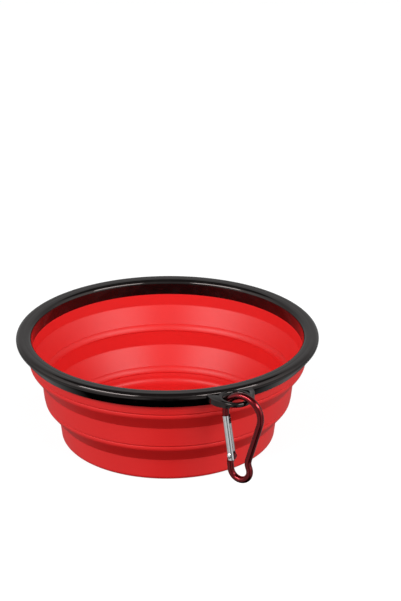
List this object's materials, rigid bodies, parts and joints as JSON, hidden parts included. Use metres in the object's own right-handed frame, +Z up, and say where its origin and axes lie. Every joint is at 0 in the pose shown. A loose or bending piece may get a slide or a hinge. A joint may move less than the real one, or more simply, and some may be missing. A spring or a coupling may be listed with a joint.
{
  "type": "collapsible bowl",
  "caption": "Round collapsible silicone bowl with concertina walls that fold flat, a hard rim with a hanging eye, and a sprung clip that hangs from the eye.",
  "frame": {"origin": "centre of the flat underside of the base, on the surface that the open bowl stands on", "axes": "+Z up along the bowl's axis, -Y towards the hanging eye on the rim"},
  "size_m": [0.13, 0.1484, 0.0504],
  "materials": {
    "rim_plastic": "moulded, satin gloss",
    "silicone": "moulded silicone, soft satin",
    "anodised_frame": "polished and dyed dark red",
    "gate_metal": "polished",
    "rivet_steel": "bright"
  },
  "bodies": {
    "base": {"base_cup": "silicone", "lower_fold": "silicone"},
    "middle": {"middle_band": "silicone", "upper_fold": "silicone"},
    "rim": {"rim": "rim_plastic", "upper_band": "silicone"},
    "clip": {"clip_frame": "anodised_frame", "gate_rivet": "rivet_steel"},
    "gate": {"gate_barrel": "gate_metal", "latch_pin": "rivet_steel", "gate_spring": "rivet_steel"}
  },
  "joints": [
    {"name": "lower_fold_collapse", "type": "slide", "parent": "base", "child": "middle", "axis": [0, 0, -1], "range_m": [0, 0.018], "deforming": ["lower_fold"]},
    {"name": "upper_fold_collapse", "type": "slide", "parent": "middle", "child": "rim", "axis": [0, 0, -1], "range_m": [0, 0.0174], "deforming": ["upper_fold"]},
    {"name": "clip_swing", "type": "hinge", "parent": "rim", "child": "clip", "pos_m": [0.00184, -0.07586, 0.0462], "axis": [-0.8387, -0.5446, 0], "range_deg": [-8, 170]},
    {"name": "gate_hinge", "type": "hinge", "parent": "clip", "child": "gate", "pos_m": [-0.00154, -0.07065, 0.02183], "axis": [0.8387, 0.5446, 0], "range_deg": [0, 38], "stiffness_Nm_per_rad": 0.02, "springref_deg": -20.05, "deforming": ["gate_spring"]}
  ]
}
